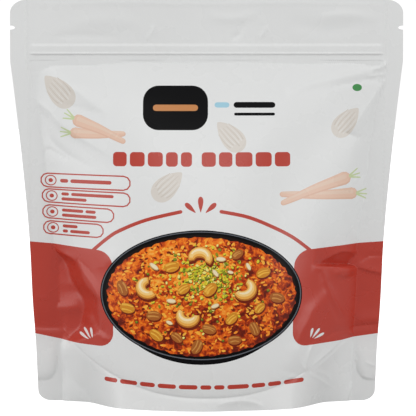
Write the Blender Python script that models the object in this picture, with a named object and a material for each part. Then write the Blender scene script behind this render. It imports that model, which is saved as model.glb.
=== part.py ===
"""A filled, shut stand-up pouch: printed film, press-to-close strip and a gusset in the foot.

The pouch is one closed solid. It stands on its foot, with its printed front facing -Y.
A cube gets loop cuts, and each of its vertices is then moved on to the film. Lengths are
in millimetres until a vertex is placed, and MM turns them into metres.
"""

import bmesh
import bpy
import numpy as np

MM = 0.001

# Outline of the flat film
HEIGHT = 169.0
TOP_WIDTH = 165.0
FOOT_WIDTH = 142.4
NARROWING_STARTS = 143.5
NARROWING_POWER = 1.65
SWELL = (42.0, 0.65, 19.0)
TOP_CORNER = (7.2, 5.5)
FOOT_CORNER = (5.8, 4.6)
FILM_EDGE = 0.5

# Seals down both sides, and the curved seam of the gusset
SEAL_TOP = 6.8
SEAL_LOW = 9.5
SEAL_FULL_AT = 67.0
SEAM_MIDDLE = 5.3
SEAM_END = 31.0
SEAM_END_X = 62.3
SEAM_POWER = 2.4

# Belly of the filled pouch, as half its thickness
BELLY = 34.5
BELLY_AT = 40.0
BELLY_TOP = 143.5
BELLY_FOOT = 31.0
BELLY_SHAPE = (1.8, 0.8)
LENS_POWER = 2.1
PILLOW = 0.8
PILLOW_REACH = 3.0

# Press-to-close strip: height of each line, its half width and how far it stands out
ZIP_STRIP = (147.0, 3.6, 0.35)
ZIP_LINES = ((147.1, 0.8, 0.75), (146.1, 0.5, -0.25), (145.1, 0.7, 0.35), (149.7, 0.9, 0.2))
ZIP_HALF_LENGTH = 75.0
ZIP_FADE = 3.0

# Gentle wave of the empty header, and the tear notches
HEADER_WAVE = 0.7
HEADER_WAVE_LENGTH = 88.0
HEADER_WAVE_FROM = 136.0
NOTCH_AT = 157.3
NOTCH_DEPTH = 2.1
NOTCH_HALF_HEIGHT = 0.85

# Foot: thickness of the skirt, and how far the gusset hangs for each mm of half span
SKIRT = 1.0
GUSSET_HANG = 0.35

# Flat flange left below the pocket in each lower corner
POCKET_CENTRE = (67.4, 19.5)
POCKET_HALF_SIZE = (4.3, 10.5)
POCKET_DEPTH = 0.18

# Folds of the film: path as (x, z), half width, and how far it stands out
FRONT_FOLDS = (
    # left flank, a valley under the seal and the ridge beside it
    (((-64.5, 64.0), (-60.0, 57.5), (-57.5, 50.0), (-54.5, 43.0), (-52.0, 34.0)), 4.6, -2.4),
    (((-63.0, 64.0), (-55.0, 60.0), (-49.0, 53.0), (-45.5, 45.0), (-46.0, 33.0)), 3.4, 0.9),
    # left flank, a small bulge between two dents beside the seal
    (((-61.0, 43.5), (-56.5, 43.5)), 3.0, 1.2),
    (((-61.0, 37.5), (-56.5, 37.5)), 2.8, -1.0),
    # right flank, the deep short crease and the ridges that leave it
    (((46.5, 59.3), (53.6, 58.0), (63.5, 57.6)), 3.2, -2.4),
    (((45.0, 60.0), (52.0, 62.8), (58.0, 64.0), (64.0, 61.0)), 2.6, 0.8),
    (((47.5, 58.0), (50.0, 53.5), (53.0, 46.5), (56.5, 38.0)), 2.8, 1.0),
    (((51.0, 50.0), (47.0, 44.0), (42.0, 38.0), (38.5, 30.0)), 3.6, 1.1),
    # under the strip, folds that run in from both upper corners
    (((-71.5, 126.0), (-67.5, 120.5), (-61.0, 106.0)), 4.0, -1.0),
    (((-60.0, 134.0), (-50.0, 127.0), (-41.0, 121.0)), 4.5, -0.9),
    (((72.5, 132.5), (69.0, 129.5), (65.0, 122.5), (60.5, 115.0)), 4.0, -1.1),
    (((71.0, 138.0), (58.0, 134.0), (45.0, 131.0)), 3.6, 0.7),
    # star of creases low on the right
    (((42.5, 14.7), (49.0, 20.0), (57.0, 26.0)), 2.4, 1.0),
    (((42.5, 14.7), (42.0, 20.0), (43.0, 27.0)), 2.2, 0.8),
)
BACK_FOLDS = (
    (((66.0, 70.0), (60.0, 61.0), (55.0, 50.0), (51.0, 38.0)), 4.4, -2.0),
    (((65.0, 74.0), (54.0, 66.0), (47.0, 54.0), (45.0, 40.0)), 3.6, 0.9),
    (((-66.0, 62.0), (-58.0, 60.0), (-46.0, 63.0)), 3.0, -1.9),
    (((-60.0, 54.0), (-52.0, 46.0), (-47.0, 34.0)), 3.4, 1.0),
    (((-71.0, 130.0), (-64.0, 121.0), (-55.0, 114.0)), 4.2, -1.1),
    (((71.5, 134.0), (62.0, 127.0), (54.0, 116.0)), 4.2, -1.0),
    (((30.0, 12.0), (38.0, 19.0), (50.0, 25.0)), 2.6, 0.9),
)

# Loop cuts: places across the film as shares of its half width, and heights up its side
SEAM_SHARE = 0.84
SPANS_TO_SEAM = 18
SEAL_SHARES = (0.35, 0.67, 0.88)
SKIRT_SPANS = 4
LOW_ROWS = (36.0, 41.0, 46.0)
LEVEL = 46.0
BELLY_SPANS = 21
BELLY_ROWS_END = 141.5
ZIP_ROWS = (142.6, 143.6, 144.3, 145.1, 146.1, 147.1, 148.0, 149.0, 149.9, 150.9)
HEADER_ROWS = (154.0, 157.3, 160.5, 164.5)
GUSSET_CUTS = (-0.9, -0.8, -0.5, -0.2, 0.2, 0.5, 0.8, 0.9)

FILM_COLOUR = (0.80, 0.81, 0.80, 1.0)
FILM_ROUGHNESS = 0.38


def ramp(value, start, end):
    """0 below start, 1 above end and smooth between."""
    share = np.clip((value - start) / (end - start), 0.0, 1.0)
    return share * share * (3.0 - 2.0 * share)


def corner_drop(x, edge, corner):
    """How far a rounded corner draws the film's end in at x."""
    wide, high = corner
    share = np.clip((np.abs(x) - (edge - wide)) / wide, 0.0, 1.0)
    return high * (1.0 - np.sqrt(1.0 - share * share))


def half_width(z):
    """Half the width of the film at height z: it narrows towards the foot."""
    share = np.clip(z / NARROWING_STARTS, 0.0, 1.0)
    middle, most, reach = SWELL
    swell = most * np.exp(-((z - middle) / reach) ** 2)
    return FOOT_WIDTH / 2 + (TOP_WIDTH - FOOT_WIDTH) / 2 * share ** NARROWING_POWER + swell


def side_seam(z):
    """Distance from the middle to the inner edge of a side seal."""
    share = np.clip((z - SEAL_FULL_AT) / (BELLY_TOP - SEAL_FULL_AT), 0.0, 1.0)
    return half_width(z) - SEAL_LOW + (SEAL_LOW - SEAL_TOP) * share


def foot_seam(x):
    """Height of the curved seam that holds the gusset."""
    share = np.minimum(np.abs(x) / SEAM_END_X, 1.0)
    return SEAM_MIDDLE + (SEAM_END - SEAM_MIDDLE) * share ** SEAM_POWER


def belly(z):
    """Half the pouch's thickness on its middle line."""
    rise = np.clip((z - BELLY_AT) / (BELLY_TOP - BELLY_AT), 0.0, 1.0)
    above = BELLY * (1.0 - rise ** BELLY_SHAPE[0]) ** BELLY_SHAPE[1]
    drop = np.clip((BELLY_AT - z) / BELLY_AT, 0.0, 1.0)
    below = BELLY - (BELLY - BELLY_FOOT) * drop ** 2
    return np.where(z > BELLY_AT, above, below)


def fold(x, z, path, width, height):
    """Height of one soft fold at (x, z): a rounded ridge or valley that fades at both ends."""
    lengths = [np.hypot(b[0] - a[0], b[1] - a[1]) for a, b in zip(path, path[1:])]
    total = sum(lengths)
    nearest = 1e9
    place = 0.0
    walked = 0.0
    for (ax, az), (bx, bz), length in zip(path, path[1:], lengths):
        share = ((x - ax) * (bx - ax) + (z - az) * (bz - az)) / length ** 2
        share = np.clip(share, 0.0, 1.0)
        gap = np.hypot(x - ax - share * (bx - ax), z - az - share * (bz - az))
        if gap < nearest:
            nearest = gap
            place = (walked + share * length) / total
        walked += length
    fade = 1.0 - abs(2.0 * place - 1.0) ** 3
    return height * fade * np.exp(-(nearest / width) ** 2)


def zip_relief(x, z):
    """The press-to-close strip: a low band with fine lines along it."""
    middle, reach, proud = ZIP_STRIP
    height = proud * (1.0 - ramp(abs(z - middle), reach - 0.5, reach + 0.5))
    for line, line_width, line_height in ZIP_LINES:
        height += line_height * np.exp(-((z - line) / line_width) ** 2)
    return height * (1.0 - ramp(abs(x), ZIP_HALF_LENGTH - ZIP_FADE, ZIP_HALF_LENGTH))


def bulge(x, z, folds):
    """How far the film stands out from the seals' plane at (x, z)."""
    seam = side_seam(z)
    lens = 1.0 - np.clip(abs(x) / seam, 0.0, 1.0) ** LENS_POWER
    depth = belly(z) * lens
    over_seam = max(z - foot_seam(x), 0.0)
    inside = ramp(seam - abs(x), 0.0, 4.0) * (1.0 - ramp(z, 132.0, BELLY_TOP))
    depth += PILLOW * inside * (1.0 - np.exp(-over_seam / PILLOW_REACH))
    depth += sum(fold(x, z, *one) for one in folds) * ramp(seam - abs(x), -1.0, 3.0)
    return max(depth, 0.0) + zip_relief(x, z) - pocket(x, z)


def pocket(x, z):
    """The shallow pocket pressed into the lower part of each side seal."""
    across = (abs(x) - POCKET_CENTRE[0]) / POCKET_HALF_SIZE[0]
    up = (z - POCKET_CENTRE[1]) / POCKET_HALF_SIZE[1]
    return POCKET_DEPTH * (1.0 - ramp(np.sqrt(across ** 4 + up ** 4), 0.75, 1.0))


def wave(x, z):
    """Sideways wave of the empty header, the same for both films."""
    rise = ramp(z, HEADER_WAVE_FROM, HEIGHT)
    return HEADER_WAVE * rise * np.sin(2.0 * np.pi * (x + 12.0) / HEADER_WAVE_LENGTH)


def film_place(across, up):
    """Place (x, z) on the flat film, for across from -1 to 1 and a nominal height up."""
    share = abs(across)
    seam = side_seam(up)
    if share <= SEAM_SHARE:
        x = seam * share / SEAM_SHARE
    else:
        x = seam + (half_width(up) - seam) * (share - SEAM_SHARE) / (1.0 - SEAM_SHARE)
    x *= np.sign(across)
    foot = corner_drop(x, FOOT_WIDTH / 2, FOOT_CORNER)
    seam_height = foot_seam(x)
    if up <= SEAM_END:
        z = foot + (seam_height - foot) * up / SEAM_END
    elif up <= LEVEL:
        z = seam_height + (LEVEL - seam_height) * (up - SEAM_END) / (LEVEL - SEAM_END)
    else:
        drop = corner_drop(x, TOP_WIDTH / 2, TOP_CORNER)
        z = up - drop * ramp(up, HEADER_ROWS[-2], HEIGHT)
    return x, z


def film_point(across, up, side):
    """Point on the front film (side -1) or the back film (side 1), in metres."""
    x, z = film_place(across, up)
    folds = FRONT_FOLDS if side < 0 else BACK_FOLDS
    y = wave(x, z) + side * (FILM_EDGE / 2 + bulge(x, z, folds))
    return x * MM, y * MM, z * MM


def skirt_inside(x, z, side):
    """Distance from the middle plane to the inner face of the skirt."""
    folds = FRONT_FOLDS if side < 0 else BACK_FOLDS
    outer = FILM_EDGE / 2 + bulge(x, z, folds)
    return outer * outer / (outer + SKIRT)


def foot_point(across, depth):
    """Point on the underside: the skirt's rim, its inner wall, and the hanging gusset."""
    x, rim = film_place(across, 0.0)
    side = -1.0 if depth < 0 else 1.0
    if abs(across) >= SEAM_SHARE:
        return x * MM, depth * FILM_EDGE / 2 * MM, rim * MM
    top = foot_seam(x)
    if abs(depth) > 0.85:
        return x * MM, side * skirt_inside(x, rim, side) * MM, rim * MM
    span = skirt_inside(x, top, side)
    share = abs(depth) / 0.8
    hang = GUSSET_HANG * span * (1.0 - share * share)
    return x * MM, side * share * span * MM, max(top - hang, 0.0) * MM


def loop_cut(bm, axis, places, faces=None):
    """Cut the cube, or some of its faces, across one axis at each place."""
    normal = [0.0, 0.0, 0.0]
    normal[axis] = 1.0
    for place in places:
        point = [0.0, 0.0, 0.0]
        point[axis] = place
        if faces is None:
            geometry = bm.verts[:] + bm.edges[:] + bm.faces[:]
        else:
            chosen = [face for face in bm.faces if faces(face)]
            edges = {edge for face in chosen for edge in face.edges}
            verts = {vert for face in chosen for vert in face.verts}
            geometry = list(verts) + list(edges) + chosen
        bmesh.ops.bisect_plane(bm, geom=geometry, plane_co=point, plane_no=normal, dist=1e-6)


def cut_places():
    """Places of the loop cuts across the film, and heights of those up it."""
    inner = [SEAM_SHARE * i / SPANS_TO_SEAM for i in range(1, SPANS_TO_SEAM + 1)]
    outer = [SEAM_SHARE + (1.0 - SEAM_SHARE) * share for share in SEAL_SHARES]
    half = inner + outer
    across = [-place for place in reversed(half)] + [0.0] + half
    skirt = [SEAM_END * (i + 1) / SKIRT_SPANS for i in range(SKIRT_SPANS)]
    step = (BELLY_ROWS_END - LEVEL) / BELLY_SPANS
    belly_rows = [LEVEL + step * (i + 1) for i in range(BELLY_SPANS)]
    up = skirt + list(LOW_ROWS) + belly_rows + list(ZIP_ROWS) + list(HEADER_ROWS)
    return across, up


def pouch_mesh():
    """The pouch's mesh: a cube with loop cuts, moved on to the film."""
    bm = bmesh.new()
    bmesh.ops.create_cube(bm, size=2.0)
    across, up = cut_places()
    loop_cut(bm, 0, across)
    loop_cut(bm, 2, [2.0 * height / HEIGHT - 1.0 for height in up])
    loop_cut(bm, 1, GUSSET_CUTS, lambda face: face.normal.z < -0.5)
    for vert in bm.verts:
        u, depth, v = vert.co
        if abs(depth) > 0.999:
            vert.co = film_point(u, (v + 1.0) / 2.0 * HEIGHT, np.sign(depth))
        else:
            vert.co = foot_point(u, depth)
    bmesh.ops.recalc_face_normals(bm, faces=bm.faces[:])
    mesh = bpy.data.meshes.new("pouch")
    bm.to_mesh(mesh)
    bm.free()
    return mesh


def film_material():
    """White satin film."""
    material = bpy.data.materials.new("white_film")
    material.use_nodes = True
    shader = material.node_tree.nodes["Principled BSDF"]
    shader.inputs["Base Color"].default_value = FILM_COLOUR
    shader.inputs["Roughness"].default_value = FILM_ROUGHNESS
    shader.inputs["Metallic"].default_value = 0.0
    return material


def notch_cutter(side, collection):
    """An elliptic rod that cuts the tear notch on one side."""
    bpy.ops.mesh.primitive_cylinder_add(vertices=20, radius=1.0, depth=1.0)
    cutter = bpy.context.object
    cutter.name = "notch_cutter_left" if side < 0 else "notch_cutter_right"
    cutter.rotation_euler = (np.pi / 2, 0.0, 0.0)
    cutter.scale = (NOTCH_DEPTH * MM, NOTCH_HALF_HEIGHT * MM, 8.0 * MM)
    cutter.location = (side * TOP_WIDTH / 2 * MM, 0.0, NOTCH_AT * MM)
    bpy.ops.object.transform_apply(location=False, rotation=True, scale=True)
    for home in cutter.users_collection:
        home.objects.unlink(cutter)
    collection.objects.link(cutter)
    cutter.hide_render = True
    cutter.display_type = "WIRE"
    return cutter


def build():
    """Make the pouch and its notch cutters."""
    for old in list(bpy.data.objects):
        bpy.data.objects.remove(old)
    parts = bpy.data.collections.new("stand_up_pouch")
    cutters = bpy.data.collections.new("cutters")
    bpy.context.scene.collection.children.link(parts)
    bpy.context.scene.collection.children.link(cutters)
    pouch = bpy.data.objects.new("pouch", pouch_mesh())
    parts.objects.link(pouch)
    pouch.data.materials.append(film_material())
    for side in (-1, 1):
        cut = pouch.modifiers.new("tear_notch", "BOOLEAN")
        cut.operation = "DIFFERENCE"
        cut.solver = "EXACT"
        cut.object = notch_cutter(side, cutters)
    pouch.data.shade_smooth()
    pouch.data.set_sharp_from_angle(angle=np.radians(50.0))


build()
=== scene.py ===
"""Looks of a filled, shut stand-up pouch of white printed film.

The front web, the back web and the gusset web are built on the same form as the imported
solid, with the film's folds as real relief. The print is cut into the film's mesh as
outlines, so each field of colour is a set of faces with a material of its own.
Lengths are in millimetres until a vertex is placed, and MM turns them into metres.
"""

import math
import random

import bpy
import numpy as np
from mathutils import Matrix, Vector
from mathutils.geometry import delaunay_2d_cdt
from mathutils.kdtree import KDTree


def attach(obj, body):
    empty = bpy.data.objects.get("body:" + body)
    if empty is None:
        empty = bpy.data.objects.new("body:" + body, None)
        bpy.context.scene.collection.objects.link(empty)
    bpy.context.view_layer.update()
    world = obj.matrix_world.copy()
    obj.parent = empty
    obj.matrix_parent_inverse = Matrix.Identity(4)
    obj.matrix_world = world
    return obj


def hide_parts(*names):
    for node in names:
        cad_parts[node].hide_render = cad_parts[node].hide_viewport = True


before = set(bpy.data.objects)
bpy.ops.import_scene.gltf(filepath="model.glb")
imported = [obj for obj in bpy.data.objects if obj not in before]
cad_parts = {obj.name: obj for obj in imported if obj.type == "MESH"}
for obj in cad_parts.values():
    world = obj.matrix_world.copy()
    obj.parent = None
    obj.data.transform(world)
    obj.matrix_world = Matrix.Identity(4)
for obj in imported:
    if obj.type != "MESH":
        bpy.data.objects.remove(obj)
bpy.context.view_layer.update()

MM = 0.001

# Outline of the flat film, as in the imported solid
HEIGHT = 169.0
TOP_WIDTH = 165.0
FOOT_WIDTH = 142.4
NARROWING_STARTS = 143.5
NARROWING_POWER = 1.65
SWELL = (42.0, 0.65, 19.0)
TOP_CORNER = (7.2, 5.5)
FOOT_CORNER = (5.8, 4.6)
FILM_EDGE = 0.5
WEB = 0.25

# Seals down both sides, and the curved seam of the gusset
SEAL_TOP = 6.8
SEAL_LOW = 9.5
SEAL_FULL_AT = 67.0
SEAM_MIDDLE = 5.3
SEAM_END = 31.0
SEAM_END_X = 62.3
SEAM_POWER = 2.4

# Belly of the filled pouch, as half its thickness
BELLY = 34.5
BELLY_AT = 40.0
BELLY_TOP = 143.5
BELLY_FOOT = 34.4
BELLY_SHAPE = (1.8, 0.8)
LENS_POWER = 2.1
BELLY_LAG = 0.5
BELLY_EASE = (132.0, 141.0)
PILLOW = 0.8
PILLOW_REACH = 3.0

# Press-to-close strip as steps down the film (start, end, change), header wave, tear
# notches and foot
ZIP_STEPS = ((150.8, 149.3, 0.32), (147.05, 146.55, 0.30), (146.3, 145.75, -0.74),
             (143.75, 142.95, -0.85))
ZIP_HALF_LENGTH = 75.0
ZIP_FADE = 3.0
HEADER_WAVE = 0.7
HEADER_WAVE_LENGTH = 88.0
HEADER_WAVE_SHIFT = 12.0
HEADER_WAVE_FROM = 136.0
NOTCH_AT = 157.3
NOTCH_DEPTH = 2.1
NOTCH_HALF_HEIGHT = 0.85
SKIRT = 0.7
SKIRT_LIFT = 0.15
GUSSET_HANG = 0.35
GUSSET_STEPS = 24
GUSSET_SLICES = 111
GUSSET_INSET = 1.6
POCKET_CORNER = (68.6, 15.0)
POCKET_RADIUS = (5.4, 6.3)
POCKET_TOP = 27.0
POCKET_HEIGHT = 1.15

# Flank crushed flat beside the seal: height, distance from the middle where the flat
# part ends, and how steeply the flat part rises. Beyond it the film rises at CRUSH_STEEP
CRUSH = ((22, 60, 0.80), (27, 57.5, 0.48), (31, 53.6, 0.36), (36, 52.3, 0.40),
         (40, 51.4, 0.49), (43.5, 51.7, 0.49), (46.5, 53.7, 0.44), (49.7, 55.8, 0.46),
         (52.5, 57.2, 0.42), (56, 58.2, 0.36), (59.6, 59.9, 0.22), (62, 62.4, 0.18),
         (65, 64.9, 0.60), (69, 67.5, 1.5))
CRUSH_STEEP = 1.75
# The other flank has one flat facet beside the seal
FACET = ((24, 61.5, 1.5), (30, 57, 1.25), (36, 53.5, 1.12), (44, 50.5, 1.06),
         (52, 50, 1.06), (57, 52, 1.15), (62, 57, 1.4), (68, 62, 1.5))
FACET_STEEP = 3.0
# Heights between which both come in and go out again
CRUSH_SPAN = (20.0, 27.0, 64.0, 70.0)
CRUSH_EDGE = 0.35
CRUSH_BLEND = 0.3
# Groove along the gusset's seam: depth and reach above and below, and where and how much
# it fades on one side. Bead along the seals: height and reach
SEAM_GROOVE = (0.30, 0.5, 0.9)
GROOVE_FADE = (37.0, 43.0, 0.85)
SEAL_BEAD = (0.22, 0.45)
# Below the seam the film flares out in the middle and draws in past these distances
FLARE = 0.22
UNDERCUT = 0.36
UNDERCUT_FROM = (34.0, 50.0)
# Dents go in by less than bulges come out, and the two webs never meet
DENT = 0.35
LEAST_OUTER = 0.08
LEAST_INNER = 0.03
# Faint waves over the whole web: how many, how long and how steep
WAVES = 14
WAVE_LENGTHS = (14.0, 46.0)
WAVE_STEEPNESS = 0.0012
WAVE_SEEDS = (5, 9)

# Mesh spacing on the film
GRID = 0.85
INNER_GRID = 1.9
ROW_REACH = 84.0
FINE_ROWS = (142.2, 151.2, 0.22)
GUIDE_STEP = 0.7
SEAM_OFFSETS = (-1.1, -0.7, -0.35, 0.0, 0.35, 0.7, 1.1)
CREASE_OFFSETS = (-0.9, -0.4, 0.0, 0.4, 0.9)
SHEET_OFFSETS = (-1.8, -0.9, -0.4, 0.0, 0.4, 0.9, 1.8)
CLEAR_OF_GUIDE = 0.5
CLEAR_OF_RIM = 0.4
CLEAR_OF_SIDE = 0.45
NORMAL_STEP = 0.12
# The baking map: margin, share of the outer face, and start and width of the strip beside
MAP_MARGIN = 0.01
MAP_WIDE = 0.955
MAP_HIGH = 0.98
MAP_STRIP = (0.975, 0.015)


def ramp(value, start, end):
    """0 below start, 1 above end and smooth between."""
    share = np.clip((value - start) / (end - start), 0.0, 1.0)
    return share * share * (3.0 - 2.0 * share)


def corner_drop(x, edge, corner):
    """How far a rounded corner draws the film's end in at x."""
    wide, high = corner
    share = np.clip((np.abs(x) - (edge - wide)) / wide, 0.0, 1.0)
    return high * (1.0 - np.sqrt(1.0 - share * share))


def half_width(z):
    """Half the width of the film at height z."""
    share = np.clip(z / NARROWING_STARTS, 0.0, 1.0)
    middle, most, reach = SWELL
    swell = most * np.exp(-((z - middle) / reach) ** 2)
    return FOOT_WIDTH / 2 + (TOP_WIDTH - FOOT_WIDTH) / 2 * share ** NARROWING_POWER + swell


def side_seam(z):
    """Distance from the middle to the inner edge of a side seal."""
    share = np.clip((z - SEAL_FULL_AT) / (BELLY_TOP - SEAL_FULL_AT), 0.0, 1.0)
    return half_width(z) - SEAL_LOW + (SEAL_LOW - SEAL_TOP) * share


def foot_seam(x):
    """Height of the curved seam that holds the gusset."""
    share = np.minimum(np.abs(x) / SEAM_END_X, 1.0)
    return SEAM_MIDDLE + (SEAM_END - SEAM_MIDDLE) * share ** SEAM_POWER


def belly(z):
    """Half the pouch's thickness on its middle line."""
    rise = np.clip((z - BELLY_AT) / (BELLY_TOP - BELLY_AT), 0.0, 1.0)
    above = BELLY * (1.0 - rise ** BELLY_SHAPE[0]) ** BELLY_SHAPE[1]
    drop = np.clip((BELLY_AT - z) / BELLY_AT, 0.0, 1.0)
    below = BELLY - (BELLY - BELLY_FOOT) * drop ** 2
    return np.where(z > BELLY_AT, above, below)


def smooth_path(points, steps=6):
    """A Catmull-Rom curve through the points."""
    if len(points) < 3:
        return [tuple(p) for p in points]
    padded = [points[0]] + list(points) + [points[-1]]
    curve = []
    for a, b, c, d in zip(padded, padded[1:], padded[2:], padded[3:]):
        for i in range(steps):
            t = i / steps
            curve.append(tuple(
                0.5 * (2 * q + (r - p) * t + (2 * p - 5 * q + 4 * r - s) * t * t
                       + (3 * q - p - 3 * r + s) * t ** 3)
                for p, q, r, s in zip(a, b, c, d)))
    curve.append(tuple(points[-1]))
    return curve


def in_box(x, z, path, margin=0.0):
    """Which points lie in the box round a path."""
    xs, zs = zip(*path)
    across = (x > min(xs) - margin) & (x < max(xs) + margin)
    return across & (z > min(zs) - margin) & (z < max(zs) + margin)


def crease(x, z, points, reach, height, sharp=2.0):
    """Relief of one fold along a path. reach is its half width, or one for each side,
    and sharp is 2 for a rounded fold and near 1 for a creased one."""
    left, right = reach if isinstance(reach, tuple) else (reach, reach)
    path = smooth_path(points)
    near = in_box(x, z, path, (3.2 if sharp > 1.5 else 5.0) * max(left, right))
    px = x[near]
    pz = z[near]
    nearest = np.full_like(px, 1e9)
    place = np.zeros_like(px)
    turn = np.zeros_like(px)
    lengths = [math.dist(a, b) for a, b in zip(path, path[1:])]
    walked = 0.0
    for (ax, az), (bx, bz), length in zip(path, path[1:], lengths):
        share = ((px - ax) * (bx - ax) + (pz - az) * (bz - az)) / length ** 2
        share = np.clip(share, 0.0, 1.0)
        gap_x = px - ax - share * (bx - ax)
        gap_z = pz - az - share * (bz - az)
        gap = np.hypot(gap_x, gap_z)
        closer = gap < nearest
        nearest = np.where(closer, gap, nearest)
        place = np.where(closer, (walked + share * length) / sum(lengths), place)
        turn = np.where(closer, (bx - ax) * gap_z - (bz - az) * gap_x, turn)
        walked += length
    fade = 1.0 - np.abs(2.0 * place - 1.0) ** 3
    relief = np.zeros_like(x)
    relief[near] = height * fade * np.exp(-(nearest / np.where(turn > 0.0, left, right)) ** sharp)
    return relief


def heading(tilt):
    """Cosine and sine of an angle in degrees."""
    return math.cos(math.radians(tilt)), math.sin(math.radians(tilt))


def bump(x, z, centre, size, height, tilt=0.0):
    """A rounded bulge or dent of elliptic outline."""
    c, s = heading(tilt)
    across = ((x - centre[0]) * c + (z - centre[1]) * s) / size[0]
    up = (-(x - centre[0]) * s + (z - centre[1]) * c) / size[1]
    return height * np.exp(-(across ** 2 + up ** 2) ** 1.4)


# Folds: path as (x, z), half width (or one for each side of the path, its left side
# first), height and sharpness
FRONT_FOLDS = (
    # left flank: the ridge beside the crushed part, and what leaves it
    (((-64, 64.4), (-58.6, 62), (-54.6, 58.6), (-51.3, 55.2), (-48, 51.4), (-45.9, 48), (-45, 44.5),
     (-45.4, 40.3), (-46, 35), (-45.4, 31)), (1.6, 3), 0.4, 1.4),
    (((-44.8, 30.6), (-42.5, 28.4), (-39, 28.6)), (1.4, 1), 0.25, 1.5),
    (((-59.1, 62.3), (-54, 60.5), (-49.7, 57.3), (-46.6, 53.9), (-44.4, 49.9)), (0.7, 0.5), -0.10, 1.5),
    (((-43.5, 58), (-41.5, 49), (-40.8, 40)), 2.6, -0.3, 2),
    (((-47.5, 40), (-45, 33), (-41.5, 30.6)), (2, 1.6), -0.55, 1.4),
    (((-67.6, 39.2), (-60, 39.4), (-52.6, 40.4)), (2.6, 2.6), 0.75, 1.7),
    # right flank: the short deep crease, its upper lip and the ridges that leave it
    (((44.6, 59.2), (50.3, 58.7), (55.2, 58.2), (60.2, 57.9), (67.5, 57.2)), (4.7, 0.55), -4.6, 1.3),
    (((46.2, 59.3), (50.3, 61.4), (54.1, 63), (56.9, 63.7), (60.2, 63.3), (65.5, 61.6)),
     (1.8, 1.2), 1, 1.3),
    (((44, 58.6), (48, 57), (49.4, 54.1), (49.9, 51.5), (51.2, 48.3), (52.6, 45), (54.2, 42),
     (57.5, 36)), (1.3, 1.7), 1.2, 1.3),
    (((52.6, 49), (48.1, 43.4), (44.6, 39.8), (42.8, 36.4), (40.5, 32.7), (38.2, 28.1), (34, 15)),
     (4.4, 3), 1.1, 2),
    (((61, 28.8), (64.8, 26.5)), 0.7, 0.35, 1.3),
    (((61, 30.2), (57.1, 30.3), (52.6, 29.7), (48, 27)), (1.5, 2.4), -0.6, 1.3),
    # upper left corner: folds that run in below the end of the strip
    (((-75, 129.5), (-71.8, 126.8), (-69.6, 124.9), (-65.3, 121.9), (-62.2, 118.3), (-57.9, 114.8),
     (-50.6, 110.4), (-43.3, 106.1), (-37.3, 102)), (4, 1.8), 0.9, 1.5),
    (((-73.5, 130), (-70.8, 125.2), (-68.4, 119.8), (-67.1, 114.7), (-65.5, 110.6), (-61.3, 106.4),
     (-54.8, 102.4), (-45.7, 98.4)), (1.8, 2), -0.45, 1.6),
    (((-53, 107.7), (-46.3, 102.5), (-39.6, 97.9)), 0.6, -0.10, 1.5),
    (((-70, 103), (-66.6, 106.4), (-62.3, 104.6), (-56.1, 101.2)), (0.8, 2.2), -0.25, 1.6),
    (((-64, 137), (-55.6, 131.5), (-50.7, 127.9), (-45.9, 124.4), (-41, 121)), (4.4, 2), 0.75, 1.7),
    (((-60, 125.6), (-53.1, 123.8), (-48.3, 122.3), (-43, 121.3)), (1.6, 3), -0.45, 1.7),
    # upper right corner
    (((76.4, 142.4), (72.8, 140.4), (69, 139.6)), (0.8, 1.2), 0.5, 1.3),
    (((77, 141.6), (71.2, 139.6), (64.3, 138.1), (53.8, 136.1), (43.2, 134), (33, 130)),
     (2.2, 4), 0.85, 1.6),
    (((76.6, 138), (72, 137.2), (67, 136.9)), (1, 0.8), 0.35, 1.4),
    (((76.6, 136.2), (70.7, 135.5), (65.9, 135), (59, 133.7), (51.1, 132.1)), (1, 1.8), -0.5, 1.5),
    (((76.5, 136.4), (73.8, 133.4), (71.7, 131.2), (69.1, 127.2), (65.9, 122.6), (63, 118),
     (60, 112.5)), (4.6, 3), 1.2, 1.35),
    (((74, 134), (72.6, 124.5), (71.8, 117.7), (70.3, 109)), (1.2, 1.4), -0.45, 1.5),
    (((56.5, 113.2), (61, 112.3), (65.5, 111)), (1, 1.4), -0.18, 1.8),
    # star of creases low on the right
    (((42.3, 14.6), (45.4, 17.6), (50.3, 21.3), (57, 26.4)), (1.2, 0.9), 0.45, 1.3),
    (((43.6, 14.3), (48.5, 17.6), (54.1, 21.8), (59.4, 26.4)), (0.9, 2.6), 0.5, 1.3),
    (((42.4, 14.4), (41.7, 17.9), (42.9, 23.2), (45.5, 27.5)), (1, 1.3), 0.75, 1.3),
    (((42.6, 14.6), (45.6, 20), (51, 27)), 1.5, -0.2, 1.4),
    (((42.6, 14), (41, 15.3), (38.8, 19.4), (38.3, 26.5)), (2.4, 1), 0.6, 1.35),
    (((41, 14.2), (38.1, 12.8), (33, 13)), 0.8, 0.3, 1.3),
    (((42, 14.4), (46.7, 10.8), (52, 6.6)), (0.7, 1.4), 0.3, 1.4),
    (((43.6, 15.2), (50.4, 11.8), (53.6, 7.4)), (0.8, 1.6), 0.22, 1.5),
    # low on the left, and the bottom edge
    (((-58.4, 20), (-58.2, 14.6), (-57.2, 10.8), (-54.9, 8), (-51.6, 5.2), (-49, 0.5)),
     (3.4, 3), -0.60, 1.7),
    (((-63, 14.5), (-62.4, 8), (-60.5, 2)), 1.2, 0.25, 1.5),
    (((62.9, 27), (62.7, 12.7), (61.2, 6.6), (59.3, 0)), (0.9, 0.5), 0.45, 1.3),
    (((-22, 11), (-14, 9.6), (-6, 10.4)), 1.8, 0.35, 1.7),
    (((4, 2), (8, 3.6), (14, 4.2), (20, 3.2), (24, 1)), (0.8, 1.8), 0.5, 1.3),
)
FRONT_BUMPS = (
    ((-49.1, 35.8), (1.7, 1.4), 0.4, 30),
    ((57.6, 54.9), (3.6, 2.2), 1.1, 0),
    ((-39.5, 61.5), (3.2, 2.2), 0.35, 70),
    ((13.8, -1.5), (9.5, 4.6), -1, 0),
    ((61, 28.9), (0.9, 0.7), 0.4, 0),
)
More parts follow.
